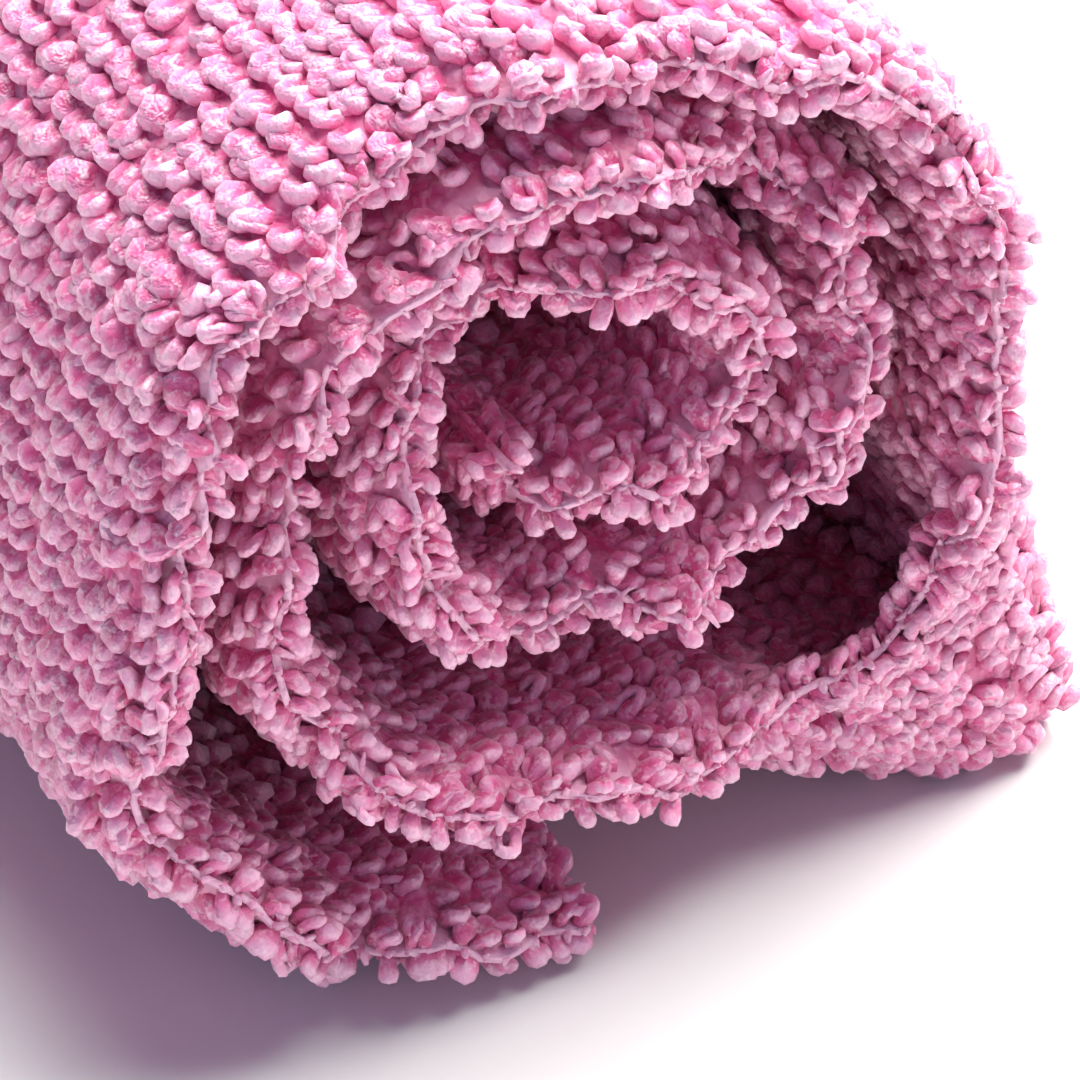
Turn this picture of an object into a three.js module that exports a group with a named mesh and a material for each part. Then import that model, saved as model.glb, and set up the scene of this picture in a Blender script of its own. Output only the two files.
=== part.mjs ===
// A square terry cleaning cloth, rolled up straight and lying on its side: one piece of cloth with
// a pile of loops on both faces and raw cut edges. Its loose end is tucked under the roll.
// Millimetres, +Z up. The roll lies along Y with the end that shows at -Y, and the origin is
// under its middle, on the surface on which it rests.

import * as THREE from "three";
import { mergeVertices } from "three/addons/utils/BufferGeometryUtils.js";

// The cloth as it was cut, and as thick as its pile stands in the roll.
const CUT_SIDE = 300;
const THICKNESS = 4.2;

// The point that it is wound round, and the sideways place of the whole roll over the origin.
const CORE = { x: 1, z: 27.7 };
const ROLL_SHIFT = -0.87;

// The winding is counted in turns from straight below the core, and runs left, up, right and down.
const LOOSE_END = 0.008;
const INNER_END = 3.27;
const DIRECTIONS = 8;
const OUTER_REACH = 22;
const INNER_REACH = 5;

// How far the middle of the cloth lies from the core, a row for each turn, outermost first.
// The first table is the cut edge at the end that shows, the second is the body of the roll.
const SHOWN_END = [
  { down: 25.6, lowerLeft: 26.2, left: 21.0, upperLeft: 20.5, up: 18.5, upperRight: 17.9, right: 18.6, lowerRight: 21.2 },
  { down: 18.2, lowerLeft: 17.6, left: 15.5, upperLeft: 15.4, up: 13.6, upperRight: 12.8, right: 11.1, lowerRight: 11.0 },
  { down: 9.1, lowerLeft: 10.3, left: 10.0, upperLeft: 10.4, up: 8.3, upperRight: 7.9, right: 5.9, lowerRight: 3.9 },
  { down: 2.7, lowerLeft: 4.0, left: 5.2, upperLeft: 5.4 },
];
const BODY = [
  { down: 25.6, lowerLeft: 26.3, left: 21.0, upperLeft: 20.1, up: 18.7, upperRight: 18.4, right: 18.7, lowerRight: 22.6 },
  { down: 20.6, lowerLeft: 18.7, left: 15.7, upperLeft: 14.8, up: 13.6, upperRight: 13.1, right: 12.5, lowerRight: 12.9 },
  { down: 13.2, lowerLeft: 11.7, left: 10.2, upperLeft: 9.6, up: 8.5, upperRight: 7.8, right: 7.0, lowerRight: 6.8 },
  { down: 6.6, lowerLeft: 5.9, left: 5.1, upperLeft: 4.8 },
];
const SETTLE_DEPTH = 26; // how far in from either cut edge the roll takes the body's form

// Folds that stand out of the wound form: where they lie in turns, how wide they are, how far they
// push the cloth out from the core, how sharp they are (over 1 a crest, under 1 a rounded belly),
// and where along the roll they begin, stand full, hold and fade away.
const FOLDS = [
  { name: "pinched crease", turn: 0.887, spread: 0.07, push: 13.4, bend: 1.3, begins: 0, full: 3.6, holds: 7, fades: 62 },
  { name: "sag by the loose end", turn: 0.925, spread: 0.075, push: 6.4, bend: 0.6, begins: 6, full: 40, holds: 290, fades: 300 },
  { name: "slack on the right", turn: 0.7, spread: 0.09, push: 1.2, bend: 0.8, begins: 30, full: 80, holds: 120, fades: 210 },
  { name: "slack on top", turn: 0.46, spread: 0.12, push: 1.3, bend: 0.8, begins: 70, full: 130, holds: 160, fades: 240 },
  { name: "slack on the left", turn: 0.2, spread: 0.09, push: 1.3, bend: 0.8, begins: 110, full: 180, holds: 210, fades: 280 },
];

// The raw edge at each end runs a little in and out.
const EDGE_WAVE = 0.9;
const EDGE_WAVES_PER_TURN = 2.6;
const TOUCH = 0.45; // what comes this close to the surface is pressed flat on it

// The grid: stations along the winding, and depths in from the end that shows.
const STATIONS = 160;
const DEPTHS = [0, 2.5, 5, 9, 16, 28, 60, 120, 190, 260, 284, 296, 300];

const { lerp, smoothstep, clamp } = THREE.MathUtils;

// A smooth reach over all turns from a table's rows.
function reachOver(table) {
  const reaches = table.flatMap((row) => Object.values(row));
  const places = reaches.map((_, i) => i / DIRECTIONS);
  const curve = new THREE.CubicInterpolant(places, reaches, 1);
  return (turn) => curve.evaluate(clamp(turn, 0, places.at(-1)))[0];
}
const reachAtEnd = reachOver(SHOWN_END);
const reachInBody = reachOver(BODY);

// Stations lie at even steps of cloth, so more of them come to a turn's width outside than inside.
function turnAt(share) {
  const turns = INNER_END - LOOSE_END;
  const shrink = (OUTER_REACH - INNER_REACH) / (2 * turns);
  const wound = share * (OUTER_REACH * turns - shrink * turns ** 2);
  return LOOSE_END + (OUTER_REACH - Math.sqrt(OUTER_REACH ** 2 - 4 * shrink * wound)) / (2 * shrink);
}

// How far a fold pushes the cloth out at a place: full at its crest, and fading along the roll.
function foldPush(fold, turn, depth) {
  const across = Math.max(0, 1 - Math.abs(turn - fold.turn) / fold.spread);
  const crest = across ** fold.bend;
  const along = smoothstep(depth, fold.begins, fold.full) * (1 - smoothstep(depth, fold.holds, fold.fades));
  return fold.push * crest * along;
}

// The middle of the cloth, in the plane across the roll.
function middle(turn, depth) {
  const inward = Math.min(depth, CUT_SIDE - depth);
  const settled = smoothstep(inward, 0, SETTLE_DEPTH);
  let reach = lerp(reachAtEnd(turn), reachInBody(turn), depth > CUT_SIDE / 2 ? 1 : settled);
  for (const fold of FOLDS) reach += foldPush(fold, turn, depth);
  const angle = -Math.PI / 2 - 2 * Math.PI * turn;
  const x = CORE.x + reach * Math.cos(angle);
  const z = CORE.z + reach * Math.sin(angle);
  return new THREE.Vector2(x, Math.max(z, THICKNESS / 2));
}

// A point of the flat cloth moved to where it lies in the roll. All three shares run from 0 to 1,
// and the last one goes from the face inside to the face outside.
function rolled(alongShare, acrossDepth, outShare) {
  const turn = turnAt(alongShare);
  const step = 0.004;
  const here = middle(turn, acrossDepth);
  const run = middle(turn + step, acrossDepth).sub(middle(turn - step, acrossDepth)).normalize();
  const out = new THREE.Vector2(-run.y, run.x).multiplyScalar((outShare - 0.5) * THICKNESS);
  const wave = EDGE_WAVE * Math.sin(2 * Math.PI * EDGE_WAVES_PER_TURN * turn);
  const toEdge = 1 - smoothstep(Math.min(acrossDepth, CUT_SIDE - acrossDepth), 0, SETTLE_DEPTH / 2);
  const y = acrossDepth - CUT_SIDE / 2 + wave * toEdge;
  const z = here.y + out.y;
  return new THREE.Vector3(here.x + out.x + ROLL_SHIFT, y, z < TOUCH ? 0 : z);
}

// The flat cloth is a thin block of many small squares, rolled up by moving each of its points.
function rolledCloth() {
  const columns = DEPTHS.length - 1;
  const flat = new THREE.BoxGeometry(1, columns, 1, STATIONS, columns, 1);
  flat.deleteAttribute("normal");
  flat.deleteAttribute("uv");
  const cloth = mergeVertices(flat);
  const points = cloth.getAttribute("position");
  for (let i = 0; i < points.count; i += 1) {
    const column = Math.round(points.getY(i) + columns / 2);
    const place = rolled(points.getX(i) + 0.5, DEPTHS[column], points.getZ(i) + 0.5);
    points.setXYZ(i, place.x, place.y, place.z);
  }
  cloth.computeVertexNormals();
  return cloth;
}

const terry = new THREE.MeshStandardMaterial({ color: 0xdc8fb4, roughness: 0.9, metalness: 0 });
const rolledClothMesh = new THREE.Mesh(rolledCloth(), terry);
rolledClothMesh.name = "rolled_cloth";

const part = new THREE.Group();
part.add(rolledClothMesh);

export default part;
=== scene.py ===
"""A square terry cleaning cloth, rolled up straight and lying on its side on a white surface.

The cloth is laid out in millimetres, and every mesh is in metres in the frame of the CAD model:
the roll lies along Y, and the end that shows is at -Y."""

import math

import bpy
import numpy as np
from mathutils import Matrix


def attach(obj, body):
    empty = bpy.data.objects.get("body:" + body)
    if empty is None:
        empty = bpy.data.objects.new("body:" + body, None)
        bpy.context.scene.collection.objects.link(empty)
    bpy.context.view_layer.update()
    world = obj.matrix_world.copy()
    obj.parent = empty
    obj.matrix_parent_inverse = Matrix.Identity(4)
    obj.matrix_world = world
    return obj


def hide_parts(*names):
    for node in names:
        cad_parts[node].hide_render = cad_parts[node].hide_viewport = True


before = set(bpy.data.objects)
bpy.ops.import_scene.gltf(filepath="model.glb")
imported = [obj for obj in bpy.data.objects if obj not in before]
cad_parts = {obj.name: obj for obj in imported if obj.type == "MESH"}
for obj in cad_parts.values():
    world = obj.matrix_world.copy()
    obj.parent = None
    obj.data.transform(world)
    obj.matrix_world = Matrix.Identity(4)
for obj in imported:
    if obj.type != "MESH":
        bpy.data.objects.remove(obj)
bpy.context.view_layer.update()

# The roll. One square of cloth is wound straight round an open core, and lies on its side with the
# loose end tucked under. Turns are counted from straight below the core, and run left, up, right
# and down. Each row is a turn, outermost first, and gives how far the cloth is from the core.
MM = 0.001
CUT_SIDE = 300.0
PILED_THICKNESS = 4.2
CORE_X, CORE_Z = 0.13, 27.7
LOOSE_END, INNER_END = 0.008, 3.27
SETTLE_DEPTH = 26.0
DIRECTIONS = 8

# Columns: down, lower left, left, upper left, up, upper right, right, lower right.
SHOWN_END = np.array([
    25.6, 26.2, 21.0, 20.5, 18.5, 17.9, 18.6, 21.2,
    18.2, 17.6, 15.5, 15.4, 13.6, 12.8, 11.1, 11.0,
    9.1, 10.3, 10.0, 10.4, 8.3, 7.9, 5.9, 3.9,
    2.7, 4.0, 5.2, 5.4,
])
BODY = np.array([
    25.6, 26.3, 21.0, 20.1, 18.7, 18.4, 18.7, 22.6,
    20.6, 18.7, 15.7, 14.8, 13.6, 13.1, 12.5, 12.9,
    13.2, 11.7, 10.2, 9.6, 8.5, 7.8, 7.0, 6.8,
    6.6, 5.9, 5.1, 4.8,
])

# Each fold: its turn, its half width in turns, how far it pushes the cloth out, how sharp its crest
# is (under 1 a rounded belly), and the depths at which it begins, stands full, fades and is gone.
FOLDS = (
    ("pinched crease", 0.887, 0.070, 13.4, 1.3, 0, 3.6, 7, 62),
    ("tip of the crease", 0.885, 0.028, 1.9, 1.0, 0, 3.6, 6, 24),
    ("sag by the loose end", 0.925, 0.075, 6.4, 0.6, 6, 40, 290, 300),
    ("slack on the right", 0.700, 0.090, 1.2, 0.8, 30, 80, 120, 210),
    ("slack on top", 0.460, 0.120, 1.3, 0.8, 70, 130, 160, 240),
    ("slack on the left", 0.200, 0.090, 1.3, 0.8, 110, 180, 210, 280),
)


def ease(low, high, value):
    """0 below low, 1 above high, and a smooth rise between them."""
    share = np.clip((value - low) / (high - low), 0.0, 1.0)
    return share * share * (3.0 - 2.0 * share)


def smooth_line(values, place):
    """The smooth curve through evenly spaced values, at a place counted in their spacing."""
    place = np.clip(place, 0.0, len(values) - 1.0)
    k = np.minimum(place.astype(int), len(values) - 2)
    f = place - k
    a = values[np.maximum(k - 1, 0)]
    b = values[k]
    c = values[k + 1]
    d = values[np.minimum(k + 2, len(values) - 1)]
    return b + 0.5 * f * (c - a + f * (2 * a - 5 * b + 4 * c - d + f * (3 * (b - c) + d - a)))


def winding_reach(turn, depth):
    """How far the middle of the cloth is from the core, with the folds that stand out of it."""
    inward = np.minimum(depth, CUT_SIDE - depth)
    settled = np.where(depth > CUT_SIDE / 2, 1.0, ease(0.0, SETTLE_DEPTH, inward))
    place = turn * DIRECTIONS
    reach = smooth_line(SHOWN_END, place) * (1.0 - settled) + smooth_line(BODY, place) * settled
    for _, middle, spread, push, bend, begins, full, holds, fades in FOLDS:
        crest = np.maximum(0.0, 1.0 - np.abs(turn - middle) / spread) ** bend
        reach = reach + push * crest * ease(begins, full, depth) * (1.0 - ease(holds, fades, depth))
    return reach


OUTER_REACH = 22.0
REACH_LOST_PER_TURN = 5.2


def cloth_length(turn):
    """Roughly how much cloth is wound between the loose end and a turn, for ripples along it."""
    return 2.0 * math.pi * (OUTER_REACH * turn - 0.5 * REACH_LOST_PER_TURN * turn * turn)


# A cut edge is never even: it scallops and frays in and out, and ruffles from side to side. Each
# unevenness is a smooth line through values 1 to 4 mm of cloth apart, and dies away in from the edge.
SCALLOP_STEP, FRAY_STEP, RUFFLE_STEP, CRINKLE_STEP = 4.2, 1.3, 3.4, 1.5
SCALLOP_FADE, FRAY_FADE, RUFFLE_FADE, CRINKLE_FADE = 8.0, 1.6, 6.0, 1.6
EDGE_WAVE, EDGE_WAVES_PER_TURN, EDGE_WAVE_FADE = 0.9, 2.6, 13.0
LENGTH_TO_SPARE = 6.0  # values kept before the first turn, so that the curve is smooth there
uneven = np.random.default_rng(7)


def uneven_values(count, usual, most):
    """Random values of a usual size, in and out, none of them beyond the most."""
    return np.clip(uneven.normal(0.0, usual, count), -most, most)


scallops = uneven_values(count=90, usual=0.95, most=1.5)
frays = uneven_values(count=270, usual=0.45, most=0.8)
ruffles = uneven_values(count=110, usual=0.50, most=0.9)
crinkles = uneven_values(count=240, usual=0.20, most=0.4)


def lay(turn, depth):
    """Where the middle of the cloth lies: x, y and z in millimetres."""
    far = depth > CUT_SIDE / 2
    length = np.where(far, cloth_length(INNER_END) - cloth_length(turn), cloth_length(turn))
    length = length + LENGTH_TO_SPARE
    inward = np.minimum(depth, CUT_SIDE - depth)
    ruffle = smooth_line(ruffles, length / RUFFLE_STEP) * np.exp(-inward / RUFFLE_FADE)
    crinkle = smooth_line(crinkles, length / CRINKLE_STEP) * np.exp(-inward / CRINKLE_FADE)
    reach = winding_reach(turn, depth) + ruffle + crinkle
    angle = -math.pi / 2 - 2.0 * math.pi * turn
    x = CORE_X + reach * np.cos(angle)
    z = CORE_Z + reach * np.sin(angle)
    wave = EDGE_WAVE * np.sin(2.0 * math.pi * EDGE_WAVES_PER_TURN * turn)
    wave = wave * (1.0 - ease(0.0, EDGE_WAVE_FADE, inward))
    wave = wave + smooth_line(scallops, length / SCALLOP_STEP) * (1.0 - ease(0.0, SCALLOP_FADE, inward))
    wave = wave + smooth_line(frays, length / FRAY_STEP) * (1.0 - ease(0.0, FRAY_FADE, inward))
    y = depth - CUT_SIDE / 2 + np.where(far, -wave, wave)
    return np.stack([x, y, np.maximum(z, PILED_THICKNESS / 2)], axis=-1)


def unit(vectors):
    """The same directions with a length of one."""
    return vectors / np.maximum(np.linalg.norm(vectors, axis=-1, keepdims=True), 1e-9)


TURN_STEP, DEPTH_STEP = 0.0035, 0.35


def facing(turn, depth):
    """The direction along the winding, the one out of the roll, and how stretched the depth is."""
    along = unit(lay(turn + TURN_STEP, depth) - lay(turn - TURN_STEP, depth))
    nearer, deeper = np.maximum(depth - DEPTH_STEP, 0.0), np.minimum(depth + DEPTH_STEP, CUT_SIDE)
    inward = (lay(turn, deeper) - lay(turn, nearer)) / (deeper - nearer)[..., None]
    out = unit(np.cross(along, inward))
    return along, out, np.linalg.norm(inward, axis=-1)


PATH_SAMPLES = 3000


def even_turns(first, last, step, depth):
    """Turns that lie a step of cloth apart, from first to last."""
    fine = np.linspace(first, last, PATH_SAMPLES)
    path = lay(fine, np.full_like(fine, depth))
    run = np.concatenate([[0.0], np.cumsum(np.linalg.norm(np.diff(path, axis=0), axis=1))])
    return np.interp(np.arange(step / 2, run[-1], step), run, fine)


# The ground cloth. A knitted sheet with the dense roots of the pile on both faces, thin as a thread
# at its raw cut edges. It is a flat grid that is wound up by moving its points, then thickened.
ROOTS_THICKNESS = 3.0
RAW_SHARE = 0.10
THIN_TO_DEPTH, FULL_FROM_DEPTH = 0.2, 2.8
PALE_TO_DEPTH, DEEP_FROM_DEPTH = 0.3, 2.2
# The grid's lines across the cloth, counted from the end that shows, are closest by the cut edges.
GROUND_DEPTHS = np.array([
    0, 0.35, 0.8, 1.3, 1.9, 2.6, 3.5, 5, 7, 9.5, 13, 18, 26, 38, 56, 80, 115, 150,
    190, 225, 250, 266, 276, 283, 288, 292, 295, 297, 298.3, 299.3, 300,
])
GROUND_COLUMNS = 380
COLUMN_SAMPLES = 600


def thinned(turn, depth):
    """How much of its full thickness the cloth has at a place: little at its cut edges."""
    from_side = np.minimum(depth, CUT_SIDE - depth)
    from_end = cloth_length(np.stack([turn, np.full_like(turn, INNER_END)]))
    from_end = np.minimum(from_end[0] - cloth_length(LOOSE_END), from_end[1] - from_end[0])
    solid = ease(THIN_TO_DEPTH, FULL_FROM_DEPTH, np.minimum(from_side, from_end))
    return RAW_SHARE + (1.0 - RAW_SHARE) * solid


for ob in bpy.context.selected_objects:
    ob.select_set(False)
bpy.ops.mesh.primitive_grid_add(
    x_subdivisions=GROUND_COLUMNS, y_subdivisions=len(GROUND_DEPTHS) - 1, size=1.0
)
ground = bpy.context.object
ground.name = "ground_cloth"
flat = np.empty(len(ground.data.vertices) * 3)
ground.data.vertices.foreach_get("co", flat)
flat = flat.reshape(-1, 3)
fine_turns = np.linspace(LOOSE_END, INNER_END, COLUMN_SAMPLES)
fine_lengths = cloth_length(fine_turns)
column_lengths = np.linspace(fine_lengths[0], fine_lengths[-1], GROUND_COLUMNS + 1)
column_turns = np.interp(column_lengths, fine_lengths, fine_turns)
turn = column_turns[np.rint((flat[:, 0] + 0.5) * GROUND_COLUMNS).astype(int)]
depth = GROUND_DEPTHS[np.rint((flat[:, 1] + 0.5) * (len(GROUND_DEPTHS) - 1)).astype(int)]
ground.data.vertices.foreach_set("co", (lay(turn, depth) * MM).ravel())
raw_edge = ground.data.attributes.new("raw_edge", "FLOAT", "POINT")
from_side = np.minimum(depth, CUT_SIDE - depth)
raw_edge.data.foreach_set("value", 1.0 - ease(PALE_TO_DEPTH, DEEP_FROM_DEPTH, from_side))
roots = ground.vertex_groups.new(name="roots")
for point, share in enumerate(thinned(turn, depth)):
    roots.add([point], share, "REPLACE")
thickness = ground.modifiers.new("thickness", "SOLIDIFY")
thickness.thickness = ROOTS_THICKNESS * MM
thickness.offset = 0.0
thickness.vertex_group = roots.name
bpy.ops.object.modifier_apply(modifier=thickness.name)
bpy.ops.object.shade_smooth()


def show_fibres_and_painted_glints(material, colour, scale, starts, strongest, glint_colour, strength, distance):
    """The yarn's fibres as relief, and pale flecks over a colour as painted glints: the new colour and
    normal.
    """
    nodes, links = material.node_tree.nodes, material.node_tree.links
    place = nodes.new("ShaderNodeTexCoord")
    fibres = nodes.new("ShaderNodeTexNoise")
    fibres.inputs["Scale"].default_value = scale
    fibres.inputs["Detail"].default_value = 2.0
    fibres.inputs["Roughness"].default_value = 0.72
    links.new(place.outputs["Object"], fibres.inputs["Vector"])
    # Painted highlight: where the noise is high, the colour is mixed towards the pale glint colour.
    glints = nodes.new("ShaderNodeMapRange")
    glints.inputs["From Min"].default_value = starts
    glints.inputs["From Max"].default_value = 0.64
    glints.inputs["To Max"].default_value = strongest
    links.new(fibres.outputs["Fac"], glints.inputs["Value"])
    with_painted_glints = nodes.new("ShaderNodeMixRGB")
    with_painted_glints.inputs["Color2"].default_value = glint_colour
    links.new(glints.outputs["Result"], with_painted_glints.inputs["Fac"])
    links.new(colour, with_painted_glints.inputs["Color1"])
    relief = nodes.new("ShaderNodeBump")
    relief.inputs["Strength"].default_value = strength
    relief.inputs["Distance"].default_value = distance
    links.new(fibres.outputs["Fac"], relief.inputs["Height"])
    return with_painted_glints.outputs["Color"], relief.outputs["Normal"]


knit = bpy.data.materials.new("knitted_ground")
knit.use_nodes = True
nodes, links = knit.node_tree.nodes, knit.node_tree.links
cloth = nodes["Principled BSDF"]
cloth.inputs["Roughness"].default_value = 0.8
cloth.inputs["Sheen Weight"].default_value = 0.25
place = nodes.new("ShaderNodeTexCoord")
knots = nodes.new("ShaderNodeTexVoronoi")
knots.inputs["Scale"].default_value = 1000.0
# Painted shade: deep pink, lightest at each knot's middle and darkest in the furrows between knots, as
# shade down in the pile.
painted_light_ramp = nodes.new("ShaderNodeValToRGB")
painted_light_ramp.color_ramp.elements[0].position = 0.10
painted_light_ramp.color_ramp.elements[0].color = (0.88, 0.32, 0.52, 1.0)
painted_light_ramp.color_ramp.elements[1].position = 0.60
painted_light_ramp.color_ramp.elements[1].color = (0.66, 0.07, 0.25, 1.0)
links.new(place.outputs["Object"], knots.inputs["Vector"])
links.new(knots.outputs["Distance"], painted_light_ramp.inputs["Fac"])
# Lighter at the raw cut edges: partly the thin crests' own pale look, partly painted light on crests that
# lie in shade.
edge = nodes.new("ShaderNodeAttribute")
edge.attribute_name = "raw_edge"
paler = nodes.new("ShaderNodeMixRGB")
paler.inputs["Color2"].default_value = (0.93, 0.52, 0.70, 1.0)
links.new(edge.outputs["Fac"], paler.inputs["Fac"])
links.new(painted_light_ramp.outputs["Color"], paler.inputs["Color1"])
# The knit with pale painted glints, and its fibres' relief.
colour, normal = show_fibres_and_painted_glints(
    knit, paler.outputs["Color"], scale=1500.0, starts=0.48, strongest=0.45,
    glint_colour=(0.95, 0.55, 0.72, 1.0), strength=0.7, distance=0.0002,
)
links.new(colour, cloth.inputs["Base Color"])
relief = nodes.new("ShaderNodeBump")
relief.invert = True
relief.inputs["Strength"].default_value = 0.8
relief.inputs["Distance"].default_value = 0.0006
links.new(knots.outputs["Distance"], relief.inputs["Height"])
links.new(normal, relief.inputs["Normal"])
links.new(relief.outputs["Normal"], cloth.inputs["Normal"])
ground.data.materials.append(knit)

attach(ground, "root")
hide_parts("rolled_cloth")

# The pile's yarn. Loops and cut ends are both soft round yarn, deep pink in the pile as painted shade
# and paler at the tips as a painted highlight, so they share one finish and one way of making them
# from their middle lines.
chance = np.random.default_rng(41)
terry = bpy.data.materials.new("terry_yarn")
terry.use_nodes = True
nodes, links = terry.node_tree.nodes, terry.node_tree.links
yarn = nodes["Principled BSDF"]
yarn.inputs["Roughness"].default_value = 0.32
yarn.inputs["Specular IOR Level"].default_value = 0.6
yarn.inputs["Sheen Weight"].default_value = 0.25
yarn.inputs["Sheen Roughness"].default_value = 0.4
yarn.inputs["Sheen Tint"].default_value = (1.0, 0.86, 0.93, 1.0)
tip = nodes.new("ShaderNodeAttribute")
tip.attribute_name = "tip"
# Painted light: by height along the yarn, from painted shade at the foot to a painted highlight at the
# tip.
painted_light_ramp = nodes.new("ShaderNodeValToRGB")
painted_light_ramp.color_ramp.elements[0].color = (0.66, 0.09, 0.26, 1.0)
painted_light_ramp.color_ramp.elements[1].color = (0.92, 0.48, 0.67, 1.0)
middle_of_painted_light = painted_light_ramp.color_ramp.elements.new(0.5)
middle_of_painted_light.color = (0.84, 0.24, 0.46, 1.0)
links.new(tip.outputs["Fac"], painted_light_ramp.inputs["Fac"])
tint = nodes.new("ShaderNodeAttribute")
tint.attribute_name = "tint"
varied = nodes.new("ShaderNodeHueSaturation")
links.new(tint.outputs["Fac"], varied.inputs["Value"])
links.new(painted_light_ramp.outputs["Color"], varied.inputs["Color"])
# The yarn with pale painted glints, and its fibres' relief.
colour, normal = show_fibres_and_painted_glints(
    terry, varied.outputs["Color"], scale=1900.0, starts=0.50, strongest=0.60,
    glint_colour=(0.96, 0.68, 0.80, 1.0), strength=0.85, distance=0.00022,
)
links.new(colour, yarn.inputs["Base Color"])
links.new(normal, yarn.inputs["Normal"])

TINT_SPREAD = 0.06
# How much darker the groove is painted: painted shade in the recess between a loop's legs.
GROOVE_PAINTED_SHADE = 1.2
PRESS_SOFTNESS = 0.3
NUDGE = 0.01  # keeps a yarn's broad side from pointing exactly along it


def spin_yarn(name, middles, aside, radii, heights, sides, flatness=1.0, groove=0.0):
    """One mesh of many separate closed yarns, each drawn round its own middle line.

    middles is yarn by ring by xyz, radii and heights are yarn by ring, aside is yarn by xyz and
    points to where the yarn is broad. A groove may run up the middle of its back."""
    count, rings = radii.shape
    heading = unit(np.gradient(middles, axis=1))
    first = np.broadcast_to(aside[:, None], middles.shape)
    first = unit(first - heading * (first * heading).sum(-1, keepdims=True))
    second = np.cross(heading, first)
    round_it = math.pi / 2 + np.arange(sides) * 2.0 * math.pi / sides
    sunk = np.where(np.arange(sides) == 0, 1.0, 0.0) * np.broadcast_to(groove, (rings,))[:, None]
    points = middles[:, :, None] + radii[:, :, None, None] * (1.0 - sunk)[..., None] * (
        np.cos(round_it)[:, None] * first[:, :, None]
        + flatness * np.sin(round_it)[:, None] * second[:, :, None]
    )
    points = points.reshape(-1, 3)
    # Where the roll's weight presses the pile on the surface, the yarn lies flat on it.
    points[:, 2] = 0.5 * (points[:, 2] + np.sqrt(points[:, 2] ** 2 + PRESS_SOFTNESS))
    start = np.arange(count)[:, None, None] * rings * sides
    ring = np.arange(rings - 1)[:, None] * sides
    here = np.arange(sides)
    after = (here + 1) % sides
    walls = np.stack([
        start + ring + here, start + ring + after,
        start + ring + sides + after, start + ring + sides + here,
    ], axis=-1).reshape(-1, 4)
    lower = start[:, 0] + here[::-1]
    upper = start[:, 0] + (rings - 1) * sides + here
    mesh = bpy.data.meshes.new(name)
    mesh.from_pydata((points * MM).tolist(), [], walls.tolist() + lower.tolist() + upper.tolist())
    mesh.polygons.foreach_set("use_smooth", np.ones(len(mesh.polygons), dtype=bool))
    # The colour follows height: painted shade at the foot, a painted highlight at the tip, and painted
    # shade in the groove.
    shade = mesh.attributes.new("tip", "FLOAT", "POINT")
    shade.data.foreach_set("value", (heights[..., None] - GROOVE_PAINTED_SHADE * sunk).ravel())
    varied_by = mesh.attributes.new("tint", "FLOAT", "POINT")
    tints = chance.normal(1.0, TINT_SPREAD, count)
    varied_by.data.foreach_set("value", np.repeat(tints, rings * sides))
    mesh.materials.append(terry)
    piece = bpy.data.objects.new(name, mesh)
    bpy.context.collection.objects.link(piece)
    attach(piece, "root")
    return piece


# The loop pile. Yarn stands out of both faces of the ground in loops, in rows along the roll. Each
# is a soft arch bent over towards the loose end, and next to a cut edge the loops are shorter and
# lie any way. Heights are from the middle of the cloth, and the broadest loops are at the far end.
TIP_HEIGHT, EDGE_TIP_HEIGHT, LEAST_TIP_HEIGHT = 2.15, 1.75, 1.3
ROW_PITCH, LOOP_PITCH = 1.36, 1.14
ROW_WANDER, LOOP_WANDER = 0.12, 0.15
CLOTH_PER_TURN = 130.0
ROWS_SETTLE_DEPTH = 10.0
FIRST_DEPTH = 0.4
EDGE_BAND_DEPTH = 3.4
FOOT_SHARE = 0.50
BEARING_SPREAD, BEARING_SPREAD_ADDED_BY_EDGE = 0.42, 1.0
LENGTH_PER_HEIGHT = 1.25
SHORTEST, LONGEST, SHORTER_BY_EDGE = 1.0, 2.0, 0.5
FLATNESS = 0.78
OPEN_INSIDE_TURNS = 0.97
PAST_INNER_END = INNER_END + 0.1


def loop_places(first_turn, last_turn, first_depth, last_depth, coarse=1.0):
    """Turn and depth of each loop: rows along the roll, every other one set off by half a step."""
    rows_depth = min(max(first_depth, ROWS_SETTLE_DEPTH), CUT_SIDE - ROWS_SETTLE_DEPTH)
    rows = even_turns(first_turn, last_turn, ROW_PITCH * coarse, rows_depth)
    depths = np.arange(first_depth, last_depth, LOOP_PITCH * coarse)
    turn, depth = np.meshgrid(rows, depths, indexing="ij")
    depth[1::2] += 0.5 * LOOP_PITCH * coarse
    turn = turn + chance.normal(0.0, ROW_WANDER, turn.shape) / CLOTH_PER_TURN
    depth = depth + chance.normal(0.0, LOOP_WANDER, depth.shape)
    turn = np.clip(turn.ravel(), LOOSE_END, INNER_END)
    return turn, np.clip(depth.ravel(), FIRST_DEPTH, CUT_SIDE - FIRST_DEPTH)


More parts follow.
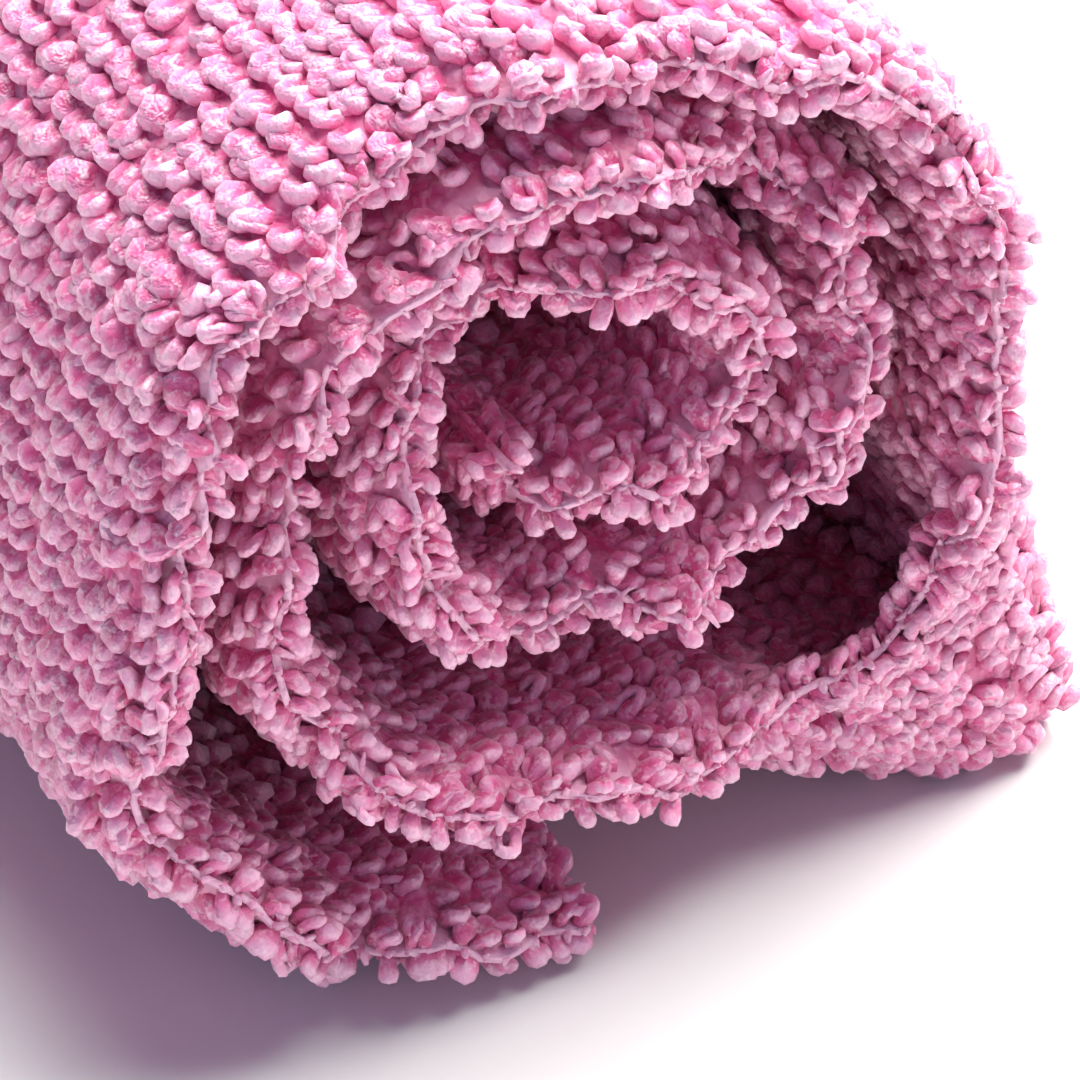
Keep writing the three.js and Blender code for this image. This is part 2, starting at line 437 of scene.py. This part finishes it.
def stand_up(turn, depth, side):
    """Each loop's foot, the way out of the cloth, the way it bends over, and how long it is."""
    count = len(turn)
    along, out, _ = facing(turn, depth)
    foot_height = 0.5 * thinned(turn, depth) * ROOTS_THICKNESS * FOOT_SHARE
    out = out * side[:, None]
    foot = lay(turn, depth) + out * foot_height[:, None]
    by_edge = 1.0 - ease(FIRST_DEPTH, EDGE_BAND_DEPTH, np.minimum(depth, CUT_SIDE - depth))
    bearing = chance.normal(0.0, BEARING_SPREAD + BEARING_SPREAD_ADDED_BY_EDGE * by_edge, count)
    over = along * -np.cos(bearing)[:, None]
    over[:, 1] += np.sin(bearing)
    over = unit(over - out * (over * out).sum(-1, keepdims=True))
    # Between two turns the loops have half the room each, and where the roll is open they stand free.
    reach = winding_reach(turn, depth)
    inner = winding_reach(np.minimum(turn + 1.0, PAST_INNER_END), depth)
    outer = winding_reach(np.maximum(turn - 1.0, 0.0), depth)
    room = np.where(side > 0, outer - reach, reach - inner)
    open_side = np.where(side > 0, turn < 1.0, turn > INNER_END - OPEN_INSIDE_TURNS)
    top = TIP_HEIGHT + (EDGE_TIP_HEIGHT - TIP_HEIGHT) * by_edge
    top = np.where(open_side, top, np.clip(0.5 * room, LEAST_TIP_HEIGHT, top))
    length = LENGTH_PER_HEIGHT * (top - foot_height) * chance.uniform(0.85, 1.2, count)
    return foot, out, over, np.clip(length, SHORTEST, LONGEST - SHORTER_BY_EDGE * by_edge)


def bent_over(foot, out, over, length, bend, share):
    """Middle lines that leave the cloth upright and bend over by an angle, ring by ring."""
    reach = (length / bend)[:, None, None]
    turned = (bend[:, None] * share)[..., None]
    return foot[:, None] + reach * (out[:, None] * np.sin(turned) + over[:, None] * (1.0 - np.cos(turned)))


def loops(name, turn, depth, side, shape, sides, girth=1.0):
    """Loops whose two legs are pressed together, each a soft flat arch that bends over."""
    foot, out, over, length = stand_up(turn, depth, side)
    count = len(turn)
    share, fatness, groove = (np.array(row) for row in shape)
    aside = np.cross(out, over)
    bend = chance.uniform(1.2, 2.1, count)
    lean = chance.normal(0.0, 0.22, count)
    broad = chance.uniform(0.30, 0.44, count) + 0.17 * length
    middles = bent_over(foot, out, over, length, bend, share)
    middles = middles + aside[:, None] * (lean[:, None] * share ** 2)[..., None]
    radii = broad[:, None] * girth * fatness
    radii = radii * chance.uniform(0.88, 1.12, radii.shape)
    heights = np.broadcast_to(share, radii.shape)
    return spin_yarn(name, middles, aside, radii, heights, sides, FLATNESS, groove)


def open_loops(name, turn, depth, side):
    """The few loops that stand free, so that the yarn can be seen going up, over and down."""
    foot, out, over, length = stand_up(turn, depth, side)
    count = len(turn)
    angle = np.radians([4.0, 35.0, 60.0, 78.0, 102.0, 120.0, 145.0, 176.0])
    share = np.sin(angle) ** 0.8
    spread = chance.uniform(0.34, 0.50, count)
    bend = chance.uniform(1.0, 2.2, count)
    aside = np.cross(out, over)
    middles = bent_over(foot, out, over, length * 1.1 + 0.2, bend, share)
    middles = middles + aside[:, None] * (spread[:, None] * np.cos(angle) * (0.7 + 0.7 * share))[..., None]
    radii = chance.uniform(0.24, 0.31, count)[:, None] * (0.9 + 0.2 * share)
    heights = np.broadcast_to(share, radii.shape)
    return spin_yarn(name, middles, unit(over + NUDGE), radii, heights, sides=5)


# From the finest to the plainest: how far up the loop each ring is, how broad it is there, and how
# deep the groove between its legs.
FINE_LOOP = ((0.0, 0.42, 0.72, 0.91, 1.0), (0.62, 0.95, 1.0, 0.76, 0.30), (0.0, 0.55, 0.60, 0.30, 0.0))
BLUNT_LOOP = ((0.0, 0.55, 0.90, 1.0), (0.70, 1.0, 0.80, 0.30), (0.0, 0.40, 0.20, 0.0))
PLAIN_LOOP = ((0.0, 0.60, 1.0), (0.80, 1.05, 0.45), (0.0, 0.0, 0.0))

# The outside, from the end that shows to the far end. Columns: first and last depth, form, sides,
# how much wider apart the loops are than at the end that shows, and how much thicker.
OUTSIDE_END = 1.02
for name, first, last, shape, sides, coarse, girth in (
    ("loops_outside_front", FIRST_DEPTH, 22.0, FINE_LOOP, 8, 1.0, 1.16),
    ("loops_outside_near", 22.0, 44.0, FINE_LOOP, 6, 1.0, 1.18),
    ("loops_outside_middle", 44.0, 78.0, BLUNT_LOOP, 5, 1.15, 1.2),
    ("loops_outside_rear", 78.0, 120.0, PLAIN_LOOP, 4, 1.3, 1.25),
    ("loops_outside_back", 120.0, 299.6, PLAIN_LOOP, 4, 1.45, 1.4),
):
    turn, depth = loop_places(LOOSE_END, OUTSIDE_END, first, last, coarse)
    loops(name, turn, depth, np.ones(len(turn)), shape, sides, girth)

BETWEEN_DEPTH = 10.0
turn, depth = loop_places(OUTSIDE_END, INNER_END, FIRST_DEPTH, BETWEEN_DEPTH)
loops("loops_between_outward", turn, depth, np.ones(len(turn)), FINE_LOOP, sides=7)
turn, depth = loop_places(LOOSE_END, INNER_END, FIRST_DEPTH, BETWEEN_DEPTH)
loops("loops_between_inward", turn, depth, -np.ones(len(turn)), FINE_LOOP, sides=7)

# The last loops hang on at the very rim, on both faces.
rim_turns = even_turns(LOOSE_END, INNER_END, step=1.1, depth=1.0)
turn = np.repeat(rim_turns, 2) + chance.normal(0.0, 0.003, 2 * len(rim_turns))
side = np.tile([1.0, -1.0], len(rim_turns))
depth = chance.uniform(0.1, 0.5, len(turn))
loops("loops_at_the_rim", turn, depth, side, FINE_LOOP, sides=6, girth=0.8)

# Where the crease swells out behind the cut edge the cloth faces the end, so more loops show.
CREASE_FIRST, CREASE_LAST = 0.79, 0.99
STRETCH_BEFORE_MORE, CHANCE_PER_STRETCH = 1.15, 0.36
turn, depth = (grid.ravel() for grid in np.meshgrid(
    even_turns(CREASE_FIRST, CREASE_LAST, step=1.2, depth=3.0), np.arange(0.5, 9.0, 0.26), indexing="ij"
))
turn = turn + chance.normal(0.0, 0.0020, len(turn))
_, _, stretch = facing(turn, depth)
kept = chance.random(len(turn)) < CHANCE_PER_STRETCH * (stretch - STRETCH_BEFORE_MORE)
turn, depth = turn[kept], depth[kept]
loops("loops_on_the_crease", turn, depth, np.ones(len(turn)), FINE_LOOP, sides=6)

# Near the end that shows the rows have been pulled apart, and odd loops fill the places between.
ODD_OUTSIDE, ODD_BETWEEN = 320, 300
turn = chance.choice(even_turns(LOOSE_END, OUTSIDE_END, step=0.2, depth=3.0), ODD_OUTSIDE, replace=False)
depth = chance.uniform(1.0, 9.0, len(turn))
loops("odd_loops", turn, depth, np.ones(len(turn)), FINE_LOOP, sides=6)
turn = chance.choice(even_turns(LOOSE_END, INNER_END, step=0.2, depth=1.0), ODD_BETWEEN, replace=False)
depth = chance.uniform(0.7, 4.5, len(turn))
side = np.where(chance.random(len(turn)) < 0.5, 1.0, -1.0)
loops("odd_loops_between", turn, depth, side, FINE_LOOP, sides=6)
turn, depth = loop_places(LOOSE_END, INNER_END, 0.6, 4.6, coarse=2.6)
side = np.where(np.arange(len(turn)) % 2 == 0, 1.0, -1.0)
open_loops("open_loops", turn, depth, side)

# Farther in between the turns, and at the far end, only the loops' tips can be seen.
inside = []
for first, last in ((BETWEEN_DEPTH, 24.0), (292.0, 299.5)):
    for first_turn, facing_side in ((OUTSIDE_END, 1.0), (LOOSE_END, -1.0)):
        turn, depth = loop_places(first_turn, INNER_END, first, last, coarse=1.5)
        inside.append((turn, depth, np.full(len(turn), facing_side)))
turn, depth, side = (np.concatenate(parts) for parts in zip(*inside))
loops("loops_inside", turn, depth, side, PLAIN_LOOP, sides=4, girth=1.4)

# The cut yarns. Along the raw edges, short ends of the ground's yarn stick out where it was cut:
# at both ends of the roll, and along the loose end.
CUT_YARN_STEP = 0.9
CUT_YARN_ROOT = 0.2
edge_turns = even_turns(LOOSE_END, INNER_END, CUT_YARN_STEP, depth=1.0)
edges = len(edge_turns)
end_depths = np.arange(1.0, CUT_SIDE, CUT_YARN_STEP)
turn = np.concatenate([edge_turns, edge_turns, np.full(len(end_depths), LOOSE_END)])
depth = np.concatenate([
    np.full(edges, CUT_YARN_ROOT), np.full(edges, CUT_SIDE - CUT_YARN_ROOT), end_depths,
])
count = len(turn)
along, out, _ = facing(turn, depth)
outward = np.zeros((count, 3))
outward[:edges, 1] = -1.0
outward[edges: 2 * edges, 1] = 1.0
outward[2 * edges:] = -along[2 * edges:]
outward = unit(outward + chance.normal(0.0, 0.5, outward.shape))
rise = np.array([0.0, 0.5, 1.0])
length = chance.uniform(0.2, 0.8, count)[:, None]
curl = chance.normal(0.0, 0.3, count)[:, None]
middles = lay(turn, depth)[:, None] + outward[:, None] * (length * rise)[..., None]
middles = middles + out[:, None] * (curl * rise ** 2)[..., None]
front = unit(np.cross(outward, out + NUDGE))
radii = chance.uniform(0.16, 0.30, count)[:, None] * np.array([1.0, 0.9, 0.4])
# Painted light: the cut yarns run from the middle of the ramp to a painted highlight at their ends.
heights = np.broadcast_to(0.6 + 0.4 * rise, radii.shape)
spin_yarn("cut_yarns", middles, front, radii, heights, sides=4)

# The surface it lies on, the daylight and the camera. A broad window is above and behind it to the
# right, and the rest is soft light from a pale room.
bpy.ops.mesh.primitive_plane_add(size=6.0)
floor = bpy.context.object
floor.name = "floor"
paint = bpy.data.materials.new("white_surface")
paint.use_nodes = True
white = paint.node_tree.nodes["Principled BSDF"]
white.inputs["Base Color"].default_value = (0.86, 0.90, 0.87, 1.0)
white.inputs["Roughness"].default_value = 0.6
floor.data.materials.append(paint)

world = bpy.data.worlds.new("pale_room")
bpy.context.scene.world = world
world.use_nodes = True
room = world.node_tree.nodes["Background"]
room.inputs["Color"].default_value = (0.68, 0.64, 1.0, 1.0)
room.inputs["Strength"].default_value = 0.18

AIM = np.array([-0.87, -150.0, 22.7]) * MM
# Columns: the lamp's place from where the camera aims, its size, its power and its colour.
for name, place, size, power, colour in (
    ("window", (0.24, 0.15, 0.56), 0.70, 15.4, (1.0, 0.985, 0.93)),
    ("room_left", (-0.45, -0.12, 0.28), 0.40, 0.30, (0.44, 0.58, 1.0)),
    ("room_front", (0.10, -0.50, 0.20), 0.30, 0.28, (0.76, 0.72, 1.0)),
):
    bpy.ops.object.light_add(type="AREA", location=AIM + np.array(place))
    lamp = bpy.context.object
    lamp.name = name
    lamp.data.size = size
    lamp.data.energy = power
    lamp.data.color = colour
    away = np.array(place) / np.linalg.norm(place)
    lamp.rotation_euler = (math.acos(away[2]), 0.0, math.atan2(away[1], away[0]) + math.pi / 2)

AZIMUTH, ELEVATION = math.radians(29.0), math.radians(38.0)
AIM_DISTANCE = 0.280
EYE_LEFT, EYE_UP = 2.5, 0.21
right = np.array([math.cos(AZIMUTH), -math.sin(AZIMUTH), 0.0])
forward = np.array([
    math.sin(AZIMUTH) * math.cos(ELEVATION), math.cos(AZIMUTH) * math.cos(ELEVATION), -math.sin(ELEVATION),
])
upward = np.cross(right, forward)
eye = AIM - EYE_LEFT * MM * right + EYE_UP * MM * upward - AIM_DISTANCE * forward
bpy.ops.object.camera_add(location=eye, rotation=(math.pi / 2 - ELEVATION, 0.0, -AZIMUTH))
camera = bpy.context.object
camera.data.lens = 224.0
camera.data.sensor_width = 36.0
camera.data.clip_start = 0.02
bpy.context.scene.camera = camera
bpy.context.scene.view_settings.view_transform = "Standard"
